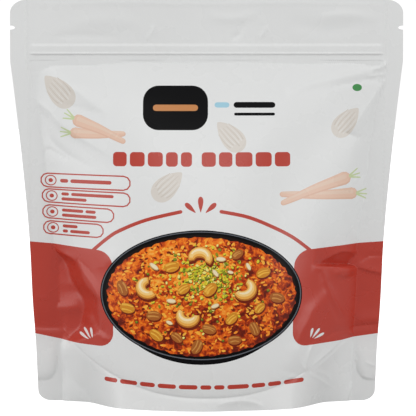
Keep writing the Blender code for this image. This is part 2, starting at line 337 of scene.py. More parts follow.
# Creases that bend both webs together, in the seals and the header
SHEET_FOLDS = (
    # flanges, level with the end of the gusset
    (((-77, 31.6), (-68, 31.2), (-59, 31)), (6, 1.5), -0.70, 1.5),
    (((-72.6, 44), (-67, 43.4)), 1, 0.12, 1.6),
    (((65, 10.8), (71, 9)), 0.8, 0.3, 1.4),
    (((66.5, 16.6), (71.4, 14.6)), 0.7, 0.2, 1.4),
    (((62.5, 57.1), (68.9, 55.2), (76, 53.7)), (3.2, 0.7), 0.65, 1.4),
    (((64.4, 58.5), (68.4, 61.2), (75, 61.6)), (1.2, 0.8), -0.3, 1.5),
    (((60.2, 31), (62.5, 31.4), (67, 32), (73.8, 32.6)), (0.7, 1.6), -0.45, 1.3),
    (((62.6, 34), (68, 34.6), (75.4, 35.2)), (3, 1.7), 0.42, 1.8),
    # header: faint dimples and slanting creases above the strip
    (((-25, 152), (-23.2, 155), (-21.8, 158.6)), 0.9, 0.3, 1.5),
    (((10, 152.3), (14, 155), (15.2, 160)), 1.4, -0.35, 1.8),
    (((22, 152.5), (24, 155), (25.6, 158)), 1, 0.28, 1.6),
    (((-58, 158.5), (-40, 160.5), (-26, 158.5)), 3, 0.3, 2),
    (((0, 162.5), (10, 161), (22, 163)), 2, 0.35, 1.8),
    (((34, 160), (50, 156.5), (66, 158.5)), 3, -0.35, 2),
    (((-66, 153.6), (-50, 154), (-36, 153)), 1.6, -0.25, 2),
    (((46, 161.5), (60, 162.5), (72, 160.5)), 2, 0.35, 2),
    (((-80, 166.8), (-40, 167.4), (0, 167.2), (40, 167.4), (80, 166.8)), 0.8, 0.16, 1.6),
)
BACK_FOLDS = (
    (((63.5, 64.2), (54.6, 59), (48.1, 52.9), (45, 45.5), (46, 36)), (1.1, 2.6), 0.75, 1.5),
    (((-66, 62), (-58, 60), (-46, 63)), (1.5, 3.8), -2.6, 1.2),
    (((-46, 63), (-50, 55), (-54, 44)), (3.6, 1.6), 1.5, 1.3),
    (((-60, 56), (-52, 46), (-43, 33)), 3, 1.2, 1.6),
    (((-73, 132), (-66, 122), (-55, 114)), (4, 1.8), 1.1, 1.4),
    (((-60, 136), (-46, 130), (-34, 120)), 4, 0.6, 2),
    (((73, 136), (64, 127), (54, 116)), (4.4, 2), -1.2, 1.4),
    (((62, 122), (52, 108), (40, 98)), 4.6, 0.5, 2),
    (((30, 12), (38, 19), (50, 25)), (0.9, 1.8), 0.9, 1.3),
    (((31, 12), (30, 20), (33, 27)), 1.3, 0.7, 1.3),
    (((31, 12), (24, 15), (18, 16)), 1.3, 0.5, 1.4),
    (((-58, 22), (-50, 14), (-46, 8)), 2, -0.6, 1.6),
)
BACK_BUMPS = (
    ((59, 40), (4.2, 3.6), 1.5, 0),
    ((-57, 55.5), (3, 1.4), 0.6, -8),
)
SHARP_ENOUGH = 1.45


def folds_of(side):
    """The folds of one web."""
    return FRONT_FOLDS if side < 0 else BACK_FOLDS


def mirrored(path):
    """The path on the other side of the pouch."""
    return [(-x, z) for x, z in path]


def soft_waves(x, z, seed):
    """Faint unevenness of filled film: a few crossing waves of random direction."""
    draw = random.Random(seed)
    height = np.zeros_like(x)
    for _ in range(WAVES):
        angle = draw.uniform(0.0, math.pi)
        length = draw.uniform(*WAVE_LENGTHS)
        phase = draw.uniform(0.0, 2.0 * math.pi)
        along = x * math.cos(angle) + z * math.sin(angle)
        height += WAVE_STEEPNESS * length * np.sin(2.0 * math.pi * along / length + phase)
    return height


def zip_relief(x, z):
    """The press-to-close strip: a low band with a sharp line along it."""
    height = np.zeros_like(x)
    for start, end, change in ZIP_STEPS:
        height += change * ramp(-z, -start, -end)
    return height * (1.0 - ramp(np.abs(x), ZIP_HALF_LENGTH - ZIP_FADE, ZIP_HALF_LENGTH))


def pocket(x, z):
    """The raised round end of the four layers at the foot of each side seal, which
    falls off ever more steeply to its lower edge."""
    across = np.minimum((np.abs(x) - POCKET_CORNER[0]) / POCKET_RADIUS[0], 0.0)
    up = np.minimum((z - POCKET_CORNER[1]) / POCKET_RADIUS[1], 0.0)
    reach = np.minimum(np.hypot(across, up), 1.0)
    return POCKET_HEIGHT * (1.0 - reach ** 4) * (1.0 - ramp(z, POCKET_CORNER[1], POCKET_TOP))


def pocket_edges():
    """The lower edges of both raised ends, as paths."""
    edge = [(POCKET_CORNER[0] - POCKET_RADIUS[0] * math.cos(angle),
             POCKET_CORNER[1] - POCKET_RADIUS[1] * math.sin(angle)) for angle in quarter(12)]
    edge.append((FOOT_WIDTH / 2 + 1.0, edge[-1][1]))
    return edge, mirrored(edge)


def soft_min(a, b, width):
    """The smaller of two heights, rounded where they cross."""
    return -width * np.logaddexp(-a / width, -b / width)


def crushed(x, z, depth, profile, steep, here):
    """The belly with one flank pressed flat beside its seal, where here says."""
    flank = smooth_path(profile)
    heights = [p[0] for p in flank]
    end = np.interp(z, heights, [p[1] for p in flank])
    slope = np.interp(z, heights, [p[2] for p in flank])
    reach = side_seam(z) - np.abs(x)
    over = reach - (side_seam(z) - end)
    beyond = CRUSH_EDGE * np.logaddexp(0.0, over / CRUSH_EDGE)
    limit = slope * np.maximum(reach, 0.0) + (steep - slope) * beyond
    share = ramp(z, *CRUSH_SPAN[:2]) * (1.0 - ramp(z, *CRUSH_SPAN[2:])) * here
    return depth + share * (soft_min(depth, limit, CRUSH_BLEND) - depth)


def bulge(x, z, side):
    """How far the film stands out from the seals' plane at (x, z)."""
    seam = side_seam(z)
    lens = 1.0 - np.clip(np.abs(x) / seam, 0.0, 1.0) ** LENS_POWER
    lag = BELLY_LAG * ramp(z, *BELLY_EASE)
    foot = foot_seam(x)
    from_seal = seam - np.abs(x)
    inside = ramp(from_seal, 0.0, 10.0) * (1.0 - ramp(z, BELLY_EASE[0], BELLY_TOP))
    pillow = PILLOW * inside * (1.0 - np.exp(-np.maximum(z - foot, 0.0) / PILLOW_REACH))
    depth = crushed(x, z, belly(z + lag) * lens + pillow, CRUSH, CRUSH_STEEP, x * side > 0.0)
    depth = crushed(x, z, depth, FACET, FACET_STEEP, x * side < 0.0)
    flare = FLARE - (FLARE + UNDERCUT) * ramp(np.abs(x), *UNDERCUT_FROM)
    depth += flare * np.maximum(foot - z, 0.0) * ramp(from_seal, 0.0, 15.0)
    waves = soft_waves(x, z, WAVE_SEEDS[side > 0])
    depth += waves * (0.25 + 0.75 * ramp(from_seal, 0.0, 12.0))
    loose = ramp(from_seal, -1.0, 0.2)
    for one in folds_of(side):
        depth += crease(x, z, *one) * loose
    for one in FRONT_BUMPS if side < 0 else BACK_BUMPS:
        depth += bump(x, z, *one) * ramp(from_seal, -0.2, 1.4)
    depth = np.where(depth > 0.0, depth, DENT * depth)
    bead, bead_width = SEAL_BEAD
    depth += bead * np.exp(-((from_seal - 0.1) / bead_width) ** 2)
    groove, above, below = SEAM_GROOVE
    gap = z - foot
    groove *= np.exp(-np.abs(gap / np.where(gap > 0.0, above, below)) ** 1.5)
    *fade, most = GROOVE_FADE
    groove *= ramp(from_seal, -0.3, 0.6) * (1.0 - most * ramp(x * -side, *fade))
    return depth + zip_relief(x, z) - groove


def wave(x, z):
    """Plane between the webs: the header's wave, and the folds that bend both webs."""
    rise = ramp(z, HEADER_WAVE_FROM, HEIGHT)
    middle = HEADER_WAVE * rise * np.sin(2.0 * np.pi * (x + HEADER_WAVE_SHIFT) / HEADER_WAVE_LENGTH)
    for one in SHEET_FOLDS:
        middle -= crease(x, z, *one)
    return middle - pocket(x, z)


def film_y(x, z, side):
    """Outer face of the front web (side -1) or the back web (side 1)."""
    return wave(x, z) + side * np.maximum(FILM_EDGE / 2 + bulge(x, z, side), LEAST_OUTER)


def film_normals(x, z, side):
    """Outward normals of the outer face, from its slope."""
    step = NORMAL_STEP
    slope_x = (film_y(x + step, z, side) - film_y(x - step, z, side)) / (2 * step)
    slope_z = (film_y(x, z + step, side) - film_y(x, z - step, side)) / (2 * step)
    normals = np.stack([-side * slope_x, np.full_like(x, side), -side * slope_z], axis=1)
    return normals / np.linalg.norm(normals, axis=1)[:, None]


# Outlines on the film, as lists of (x, z)

def turns(count):
    """Angles in even steps all round."""
    return [2.0 * math.pi * i / count for i in range(count)]


def quarter(steps):
    """Angles in even steps from 0 to a right angle."""
    return [math.pi / 2 * i / steps for i in range(steps + 1)]


def placed(points, centre, tilt):
    """Points turned by tilt degrees and moved to a centre."""
    c, s = heading(tilt)
    return [(centre[0] + x * c - z * s, centre[1] + x * s + z * c) for x, z in points]


def ellipse(centre, size, tilt=0.0, count=48):
    """An ellipse, given its half sizes."""
    points = [(size[0] * math.cos(angle), size[1] * math.sin(angle)) for angle in turns(count)]
    return placed(points, centre, tilt)


def rounded(corners, radii, steps=7):
    """A polygon whose corners are rounded with conic arcs of the given reach."""
    points = []
    for i, reach in enumerate(radii):
        here = Vector(corners[i])
        if reach <= 0.0:
            points.append(tuple(here))
            continue
        start = here + (Vector(corners[i - 1]) - here).normalized() * reach
        end = here + (Vector(corners[(i + 1) % len(corners)]) - here).normalized() * reach
        for j in range(steps + 1):
            t = j / steps
            a = (1 - t) ** 2
            b = 2 * ARC_WEIGHT * t * (1 - t)
            c = t ** 2
            points.append(tuple((start * a + here * b + end * c) / (a + b + c)))
    return points


def panel(left, right, low, high, reach):
    """A rectangle with rounded corners."""
    return rounded([(left, high), (right, high), (right, low), (left, low)], (reach,) * 4)


def band(path, width, tail=None):
    """A stroke of even width with round ends; tail gives another width at its far end."""
    line = [Vector(p) for p in smooth_path(path)]
    last = len(line) - 1
    tail = width if tail is None else tail
    left, right = [], []
    for i, here in enumerate(line):
        along = (line[min(i + 1, last)] - line[max(i - 1, 0)]).normalized()
        normal = Vector((-along.y, along.x)) * ((width + (tail - width) * i / last) / 2)
        left.append(tuple(here + normal))
        right.append(tuple(here - normal))
    return (left + cap(path[-1], line[-1] - line[-2], tail / 2) + right[::-1]
            + cap(path[0], line[0] - line[1], width / 2))


def bar(start, end, z, width):
    """A level stroke."""
    return band([(start, z), (end, z)], width)


def cap(centre, way, radius, steps=5):
    """Points of the half circle that ends a stroke."""
    start = math.atan2(way.y, way.x) + math.pi / 2
    angles = [start - math.pi * i / steps for i in range(1, steps)]
    return [(centre[0] + radius * math.cos(angle), centre[1] + radius * math.sin(angle))
            for angle in angles]


def drop(foot, length, width, tilt):
    """A drop whose point is at its foot; tilt is its lean from upright, in degrees."""
    points = []
    for angle in turns(24):
        up = length * (0.5 - 0.5 * math.cos(angle))
        across = width * 0.62 * math.sin(angle) * (0.18 + 0.82 * (up / length)) ** 0.9
        points.append((across, up))
    return placed(points, foot, tilt)


def almond(centre, length, width, tilt):
    """An almond: pointed at one end, broad and round at the other."""
    points = []
    for angle in turns(36):
        taper = 1.0 - 0.35 * math.cos(angle) - 0.22 * max(math.cos(angle), 0.0) ** 3
        points.append((length / 2 * math.cos(angle), width / 2 * math.sin(angle) * taper))
    return placed(points, centre, tilt)


def dense(outline, step):
    """The outline with points added, so that no edge is longer than step."""
    points = []
    for a, b in zip(outline, outline[1:] + outline[:1]):
        parts = max(math.ceil(math.dist(a, b) / step), 1)
        for i in range(parts):
            t = i / parts
            points.append((a[0] + (b[0] - a[0]) * t, a[1] + (b[1] - a[1]) * t))
    return points


def crescent(centre, size, thick, tilt, spread):
    """A cashew: a curved body, thickest in the middle, with round ends."""
    outer, inner = [], []
    for i in range(15):
        angle = math.radians(tilt - spread + 2 * spread * i / 14)
        half = thick / 2 * (0.30 + 0.70 * math.sin(math.pi * (i + 1.2) / 16.4) ** 0.7)
        for line, way in ((outer, half), (inner, -half)):
            line.append((centre[0] + (size + way) * math.cos(angle),
                         centre[1] + (size * 0.84 + way) * math.sin(angle)))
    return outer + inner[::-1]


def film_outline():
    """A web's outline, with round corners and tear notches."""
    half_foot, half_top = FOOT_WIDTH / 2, TOP_WIDTH / 2
    foot_wide, foot_high = FOOT_CORNER
    top_wide, top_high = TOP_CORNER
    header = [(x, HEIGHT) for x in np.linspace(0.0, -half_top + top_wide, 60)[:-1]]
    top = [(-half_top + top_wide * (1 - math.sin(angle)), HEIGHT - top_high * (1 - math.cos(angle)))
           for angle in quarter(9)]
    notch = []
    for i in range(11):
        angle = math.pi / 2 - math.pi * i / 10
        notch.append((-half_top + NOTCH_DEPTH * math.cos(angle),
                      NOTCH_AT + NOTCH_HALF_HEIGHT * math.sin(angle)))
    flank = [(-float(half_width(z)), z) for z in np.linspace(NOTCH_AT - 1.6, foot_high + 1, 130)]
    corner = [(-half_foot + foot_wide * (1 - math.cos(angle)), foot_high * (1 - math.sin(angle)))
              for angle in quarter(8)[:-1]]
    foot = [(x, float(corner_drop(x, half_foot, FOOT_CORNER)))
            for x in np.linspace(-half_foot + foot_wide, 0.0, 60)]
    half = header + top + notch + flank + corner + foot[1:]
    return half + mirrored(half[::-1])[1:-1]


# Print: colour name and outline, in the order in which they are laid down

BOWL = (-2.3, 47.3)
FOOD = (-2.3, 46.9)
FOOD_SIZE = (38.9, 24.2)
BAR_GAP = 0.9
BAR_ROW = 2.1
ARC_WEIGHT = 0.7071


def red_fields():
    """The two red side fields, the arc between them and small fans of drops."""
    for corners in (
            ((-80.0, 67.9), (-46.0, 65.1), (-38.8, 64.3), (-38.5, 25.0), (-58.3, 25.6), (-80.0, 30.2)),
            ((80.0, 67.9), (42.6, 65.4), (36.2, 64.6), (35.4, 25.4), (56.9, 26.4), (80.0, 29.7))):
        yield "red", rounded(corners, (0.0, 0.0, 6.0, 6.0, 0.0, 0.0))
    for path in (((-47.0, 64.9), (-41.5, 69.6), (-36.1, 73.2), (-24.8, 77.9), (-10.6, 81.4)),
                 ((6.0, 81.5), (17.0, 79.2), (27.7, 74.8), (36.0, 70.3), (43.0, 64.9))):
        yield "red", band(path, 1.45)
    for one in (((-4.4, 81.0), 5.8, 2.3, 48.0), ((-2.4, 81.2), 6.4, 2.5, 0.0),
                ((-0.4, 81.0), 5.8, 2.3, -48.0)):
        yield "red", drop(*one)
    for x, z, turn in ((-48.2, 28.0, 1.0), (43.8, 28.5, -1.0)):
        for i, (length, tilt) in enumerate(((4.0, 14.0), (5.0, 40.0), (4.8, 65.0))):
            foot = (x + 0.8 * turn * (1 - i), z + 0.35 * (1 - i))
            yield "white_ink", drop(foot, length, 1.25, tilt * turn)


def bars(start, slope, lengths, thick):
    """A row of short bars along a line of the given slope."""
    x, z = start
    for length in lengths:
        ends = (x, x + length - thick)
        yield "red", band([(end, z + (end - start[0]) * slope) for end in ends], thick)
        x += length + BAR_GAP


def pills():
    """Four outlined pills, each with a round icon and rows of plain bars."""
    for start, end, high, lines in (((-66.9, 93.35), (-34.3, 92.75), 6.3, ((3.6, 17.6),)),
                                    ((-66.5, 86.85), (-34.2, 86.0), 6.1, ((3.4, 18.2), (11.0,))),
                                    ((-66.3, 80.1), (-41.0, 79.3), 6.1, ((9.4, 4.4), (15.0,))),
                                    ((-66.0, 73.4), (-45.4, 72.9), 6.0, ((6.6,), (2.4, 8.6)))):
        yield "red", band([start, end], high)
        yield "film", band([start, end], high - 1.15)
        slope = (end[1] - start[1]) / (end[0] - start[0])
        icon = (start[0] + 1.4, start[1] + 1.4 * slope)
        for colour, size in (("red", (2.6, 2.25)), ("film", (2.15, 1.8)), ("red", (1.0, 0.85))):
            yield colour, ellipse(icon, size)
        first = BAR_ROW / 2 * (len(lines) - 1)
        x = icon[0] + 4.9
        for i, lengths in enumerate(lines):
            z = start[1] + (x - start[0]) * slope + first - BAR_ROW * i
            yield from bars((x, z), slope, lengths, 1.55 if len(lines) == 1 else 1.3)


def badge_and_bars():
    """A plain dark plate with a stripe, and plain bars beside it."""
    yield "charcoal", panel(-26.4, 0.6, 114.6, 133.0, 6.5)
    for colour, *place in (("stripe", -21.0, -4.8, 123.8, 2.6), ("pale_blue", 4.4, 8.4, 125.0, 2.2),
                           ("charcoal", 12.4, 27.4, 125.0, 2.4), ("charcoal", 12.0, 27.8, 121.2, 1.2)):
        yield colour, bar(*place)
    yield "green", ellipse((63.1, 132.2), (2.0, 1.5))


def title_blocks():
    """Two groups of plain rounded blocks in one row."""
    draw = random.Random(12)
    count = 5
    gap = 1.3
    for x, end in ((-38.7, -6.0), (-2.0, 34.6)):
        widths = [draw.uniform(0.8, 1.25) for _ in range(count)]
        unit = (end - x - gap * (count - 1)) / sum(widths)
        for width in widths:
            far = x + width * unit
            yield "red", panel(x, far, 99.7, 105.6, 1.5)
            x = far + gap


def foot_bars():
    """A curved row of short bars low on the front."""
    draw = random.Random(3)
    x = -41.5
    while x < 38.0:
        far = min(x + draw.uniform(2.4, 8.0), 39.4)
        yield "red", band([(end, 9.9 + 1.55 * (end / 40.0) ** 2) for end in (x, far)], 1.8)
        x = far + 2.9


def almonds():
    """Faint almonds with lines along them, printed on the white."""
    draw = random.Random(21)
    for centre, length, tilt in (((-62.0, 130.8), 17.0, 133.0), ((9.8, 112.2), 15.4, 133.0),
                                 ((58.4, 117.9), 15.2, 48.0), ((-15.9, 91.9), 15.8, 43.0)):
        wide = length * 0.56
        yield "almond", almond(centre, length, wide, tilt)
        for i in range(9):
            side = (i - 4) * 0.105 * wide
            reach = length * (0.40 - 0.02 * abs(i - 4))
            start = -draw.uniform(0.6, 0.9) * reach
            line = [(t, side * (1.0 - 0.5 * (t / (length / 2)) ** 2))
                    for t in (start, start * 0.2, reach * draw.uniform(0.6, 0.95))]
            yield ("almond_line", "almond_light")[i % 2], band(placed(line, centre, tilt), 0.42, 0.16)


def carrots():
    """Pairs of carrots with short stems, printed on the white."""
    for i, (shoulder, tip, width) in enumerate((
            ((-54.8, 113.3), (-34.6, 113.0), 4.6), ((-53.4, 118.4), (-34.6, 110.0), 5.2),
            ((60.8, 88.0), (31.2, 88.3), 4.9), ((57.6, 94.4), (31.6, 84.8), 5.5))):
        bend = 0.5 if i % 2 else -0.4
        middle = ((shoulder[0] + tip[0]) / 2, (shoulder[1] + tip[1]) / 2 + bend)
        for colour, lift, share, end in (("carrot_edge", 0.0, 1.0, 2.2), ("carrot", 0.25, 0.84, 1.7),
                                         ("carrot_light", 0.7, 0.34, 0.5)):
            path = [(x, z + lift) for x, z in (shoulder, middle, tip)]
            yield colour, band(path, width * share, end)
        top = Vector(shoulder)
        away = (top - Vector(tip)).normalized()
        normal = Vector((-away.y, away.x))
        for turn in (-0.5, -0.1, 0.4):
            start = top + away * width * 0.46 + normal * turn * 0.8
            end = top + away * (width * 0.5 + 4.2 - abs(turn)) + normal * turn * 4.4
            yield "stem", band([tuple(start), tuple(end)], 0.75, 0.5)


def on_food(draw, reach=0.93):
    """A random place on the food in the bowl."""
    angle = draw.uniform(0.0, 2.0 * math.pi)
    share = reach * math.sqrt(draw.random())
    return (FOOD[0] + FOOD_SIZE[0] * share * math.cos(angle),
            FOOD[1] + FOOD_SIZE[1] * share * math.sin(angle))


def food_edge():
    """The food's uneven edge against the bowl."""
    draw = random.Random(8)
    waves = [(count, depth, draw.uniform(0.0, 6.28))
             for count, depth in ((7, 0.004), (29, 0.005), (43, 0.007), (71, 0.005))]
    points = []
    for angle in turns(180):
        rough = 1.0
        for count, depth, phase in waves:
            rough += depth * math.sin(count * angle + phase)
        points.append((FOOD[0] + FOOD_SIZE[0] * rough * math.cos(angle),
                       FOOD[1] + FOOD_SIZE[1] * rough * math.sin(angle)))
    return points


def bowl_of_food():
    """A dark bowl of grated carrot sweet seen from above at a slant, with nuts and raisins."""
    for colour, lift, wide, high in (("bowl", -0.7, 38.2, 27.4), ("bowl", 0.0, 41.75, 26.6),
                                     ("bowl_rim", 0.0, 41.3, 26.15), ("bowl", 0.05, 40.9, 25.75),
                                     ("bowl_wall", 0.1, 39.7, 24.8)):
        yield colour, ellipse((BOWL[0], BOWL[1] + lift), (wide, high), count=96)
    yield "food", food_edge()
    draw = random.Random(31)
    for colour, count, reach, low in (("food_dark", 270, 0.97, -1.0), ("food_light", 330, 0.97, -1.0),
                                      ("food_gold", 110, 0.95, -1.0), ("food_gold", 260, 0.62, -0.4),
                                      ("food_gold", 300, 0.95, 0.35)):
        for _ in range(count):
            place = on_food(draw, reach)
            if place[1] < FOOD[1] + low * FOOD_SIZE[1]:
                continue
            turn = draw.gauss(0.0, 40.0)
            size = draw.uniform(0.45, 1.05)
            yield colour, ellipse(place, (size, size * draw.uniform(0.35, 0.6)), turn, 8)
    taken = []
    whole = list(cashews(draw, taken))
    fruit = list(raisins(draw, taken))
    flat = list(slivers(draw, taken))
    yield from crumbs(draw)
    yield from fruit + flat + whole


def free_places(draw, taken, count, gap, reach):
    """Random places on the food, each clear of those already taken."""
    places = []
    for _ in range(4000):
        place = on_food(draw, reach)
        if all(math.dist(place, other) > (gap + room) / 2 for other, room in taken):
            taken.append((place, gap))
            places.append(place)
            if len(places) == count:
                break
    return places


def cashews(draw, taken):
    """Whole roasted cashews, each with a shadow, a body, a light and a bright streak."""
    for x, z, tilt in ((-23.6, 50.4, 200.0), (-2.6, 62.2, 80.0), (-7.4, 39.4, 250.0),
                       (15.2, 50.2, 320.0)):
        taken.append(((x, z), 11.5))
        size = draw.uniform(3.2, 3.6)
        for colour, shift_x, shift_z, thick, spread in (
                ("food_dark", 0.4, -1.05, 4.7, 114.0), ("cashew_edge", 0.0, 0.0, 4.5, 112.0),
                ("cashew", -0.08, 0.25, 3.7, 107.0), ("cashew_light", -0.2, 0.6, 2.3, 98.0),
                ("cashew_bright", -0.3, 0.9, 0.9, 74.0)):
            yield colour, crescent((x + shift_x, z + shift_z), size, thick, tilt, spread)


def raisins(draw, taken):
    """Golden and brown raisins, wrinkled, each with its shadow."""
    for i, (x, z) in enumerate(free_places(draw, taken, 17, 8.0, 0.84)):
        size = draw.uniform(0.85, 1.12)
        tilt = draw.gauss(0.0, 38.0)
        wide = (3.0 * size, 1.95 * size)
        dark, light = (("raisin", "raisin_light"), ("golden", "golden_light"))[i % 2]
        yield "food_dark", ellipse((x + 0.25, z - 0.7), wide, tilt, 20)
        yield dark, ellipse((x, z), wide, tilt, 20)
        for row in (draw.uniform(-0.4, -0.1), draw.uniform(0.25, 0.6)):
            reach = wide[0] * draw.uniform(0.5, 0.75)
            line = [(t * reach, wide[1] * row + bow)
                    for t, bow in ((-1.0, 0.0), (0.0, draw.uniform(0.1, 0.4)), (1.0, -0.1))]
            yield light, band(placed(line, (x, z), tilt), draw.uniform(0.5, 0.95) * size, 0.35)


def crumbs(draw):
    """Chopped green and yellow nuts, heaped in the middle and thinner outwards."""
    colours = ("nut_yellow", "nut_lime", "nut_yellow", "nut_pale", "nut_green")
    for i in range(430):
        spread = 1.0 if i < 300 else 2.2
        x = draw.gauss(-0.5, 6.0 * spread)
        z = draw.gauss(54.6, 4.2 * spread)
        if math.hypot((x - FOOD[0]) / FOOD_SIZE[0], (z - FOOD[1]) / FOOD_SIZE[1]) > 0.9:
            continue
        size = draw.uniform(0.4, 0.85)
        turn = draw.uniform(0.0, 180.0)
        yield "nut_dark", ellipse((x + 0.12, z - 0.3), (size, size * 0.7), turn, 7)
        yield draw.choice(colours), ellipse((x, z), (size, size * 0.7), turn, 7)
    for _ in range(30):
        x, z = on_food(draw, 0.85)
        size = draw.uniform(0.45, 0.8)
        yield "nut_dark", ellipse((x, z - 0.15), (size, size * 0.85), 0.0, 9)
        yield "nut_green", ellipse((x - 0.1, z + 0.1), (size * 0.7, size * 0.55), 0.0, 9)


def slivers(draw, taken):
    """Flat slices of almond."""
    for x, z in free_places(draw, taken, 15, 5.2, 0.72):
        tilt = draw.uniform(-70.0, 40.0)
        reach = draw.uniform(1.3, 3.6)
        high = reach * 0.34 + 0.3
        yield "food_dark", ellipse((x + 0.25, z - 0.5), (reach, high), tilt, 18)
        yield "sliver_edge", ellipse((x, z), (reach, high), tilt, 18)
        yield "sliver", ellipse((x + 0.05, z + 0.08), (reach * 0.84, high * 0.7), tilt, 18)


def front_print():
    """All printed shapes of the front, from the bottom layer to the top one."""
    for part in (almonds, carrots, red_fields, bowl_of_food, pills, badge_and_bars, title_blocks,
                 foot_bars):
        yield from part()


def back_print():
    """A plain back: the red fields joined to a band, and a ruled panel with bars."""
    for colour, half, low, high, reach in (
            ("white_ink", 90.0, 28.2, 68.3, 0.0), ("red", 90.0, 28.7, 67.8, 0.0),
            ("charcoal", 30.0, 76.0, 128.0, 2.4), ("film", 29.5, 76.5, 127.5, 2.0)):
        yield colour, panel(-half, half, low, high, reach)
    draw = random.Random(17)
    for i in range(7):
        z = 121.0 - 6.4 * i
        yield "charcoal", bar(-27.5, 27.5, z - 3.2, 0.3)
        yield "charcoal", bar(-26.0, -26.0 + draw.uniform(14.0, 26.0), z, 1.3)
        yield "charcoal", bar(26.0 - draw.uniform(5.0, 9.0), 26.0, z, 1.3)
    for i in range(3):
        yield "white_ink", bar(-34.0, -34.0 + draw.uniform(48.0, 68.0), 58.0 - 8.5 * i, 1.6)
    yield "green", ellipse((58.0, 122.0), (2.4, 2.0))


# Materials

COLOURS = {
    "film": (0.790, 0.798, 0.793),
    "white_ink": (0.80, 0.81, 0.80),
    "red": (0.485, 0.041, 0.022),
    "charcoal": (0.005, 0.005, 0.0055),
    "stripe": (0.56, 0.22, 0.06),
    "pale_blue": (0.36, 0.62, 0.74),
    "green": (0.04, 0.26, 0.06),
    "almond": (0.70, 0.655, 0.60),
    "almond_line": (0.60, 0.545, 0.48),
    "almond_light": (0.78, 0.755, 0.72),
    "carrot": (0.79, 0.545, 0.42),
    "carrot_edge": (0.74, 0.47, 0.35),
    "carrot_light": (0.80, 0.60, 0.48),
    "stem": (0.57, 0.66, 0.37),
    "bowl": (0.003, 0.003, 0.0035),
    "bowl_rim": (0.13, 0.14, 0.16),
    "bowl_wall": (0.012, 0.007, 0.006),
    "food": (0.66, 0.115, 0.010),
    "food_dark": (0.17, 0.015, 0.002),
    "food_light": (0.95, 0.30, 0.025),
    "food_gold": (0.95, 0.45, 0.05),
    "raisin": (0.40, 0.12, 0.02),
    "raisin_light": (0.62, 0.27, 0.06),
    "golden": (0.66, 0.26, 0.02),
    "golden_light": (0.85, 0.47, 0.06),
    "nut_yellow": (0.74, 0.62, 0.035),
    "nut_lime": (0.50, 0.50, 0.025),
    "nut_pale": (0.88, 0.80, 0.22),
    "nut_green": (0.24, 0.28, 0.015),
    "nut_dark": (0.08, 0.10, 0.01),
    "sliver": (0.88, 0.76, 0.50),
    "sliver_edge": (0.64, 0.42, 0.16),
    "cashew_edge": (0.50, 0.17, 0.02),
    "cashew": (0.86, 0.43, 0.08),
    "cashew_light": (0.93, 0.62, 0.22),
    "cashew_bright": (0.96, 0.80, 0.50),
}
SATIN = 0.27
INK_SPREAD = 0.04
FILM_SPREAD = 0.012
FILM_GLOSS = 0.45
INK_GLOSS = 0.60
BLACK_GLOSS = 0.08
BLACKS = ("charcoal", "bowl", "bowl_rim", "bowl_wall")
PICTURE_GLOSS = 0.2
PICTURE = ("food", "raisin", "golden", "nut", "sliver", "cashew")
# The food darkens away from a point: the point, where that starts and ends, and how far
# it goes. FOOD_ROUND makes the bowl's ellipse round
FOOD_SHADE = ((-0.010, 0.062), 0.010, 0.050, 0.085)
FOOD_ROUND = 1.35
FOOD_TONES = ((0.36, (0.13, 0.009, 0.002)), (0.63, (0.96, 0.46, 0.08)), (0.43, (0.42, 0.036, 0.003)),
              (0.485, (0.76, 0.12, 0.006)), (0.56, (0.92, 0.245, 0.015)))


def fill(tree, node, inputs):
    """Set a node's inputs to values, or join them where an output is given instead."""
    for name, value in inputs.items():
        if isinstance(value, bpy.types.NodeSocket):
            tree.links.new(value, node.inputs[name])
        else:
            node.inputs[name].default_value = value
    return node


def add_node(tree, kind, inputs, **settings):
    """A new shader node with its settings made and its inputs filled."""
    node = tree.nodes.new("ShaderNode" + kind)
    for name, value in settings.items():
        setattr(node, name, value)
    return fill(tree, node, inputs)


def noise(tree, place, scale, detail, **more):
    """A cloudy pattern at a place on the object."""
    inputs = {"Vector": place, "Scale": scale, "Detail": detail, **more}
    return add_node(tree, "TexNoise", inputs).outputs["Fac"]


def satin(name, colour, spread, shine):
    """Satin printed film: the colour drifts a little, and the gloss and grain vary."""
    material = bpy.data.materials.new(name)
    material.use_nodes = True
    tree = material.node_tree
    place = add_node(tree, "TexCoord", {}).outputs["Object"]
    cloud = noise(tree, place, 45.0, 4.0)
    low = (*[c * (1.0 - spread) for c in colour], 1.0)
    high = (*[min(c * (1.0 + spread), 1.0) for c in colour], 1.0)
    tint = add_node(tree, "Mix", {"A": low, "B": high, "Factor": cloud}, data_type="RGBA")
    gloss = add_node(tree, "MapRange", {"Value": cloud, "To Min": SATIN - 0.05, "To Max": SATIN + 0.06})
    grain = noise(tree, place, 900.0, 2.0)
    relief = add_node(tree, "Bump", {"Height": grain, "Strength": 0.06, "Distance": 0.0002})
    fill(tree, tree.nodes["Principled BSDF"], {
        "Base Color": tint.outputs["Result"], "Roughness": gloss.outputs["Result"],
        "Normal": relief.outputs["Normal"], "IOR": 1.45, "Specular IOR Level": shine})
    return material


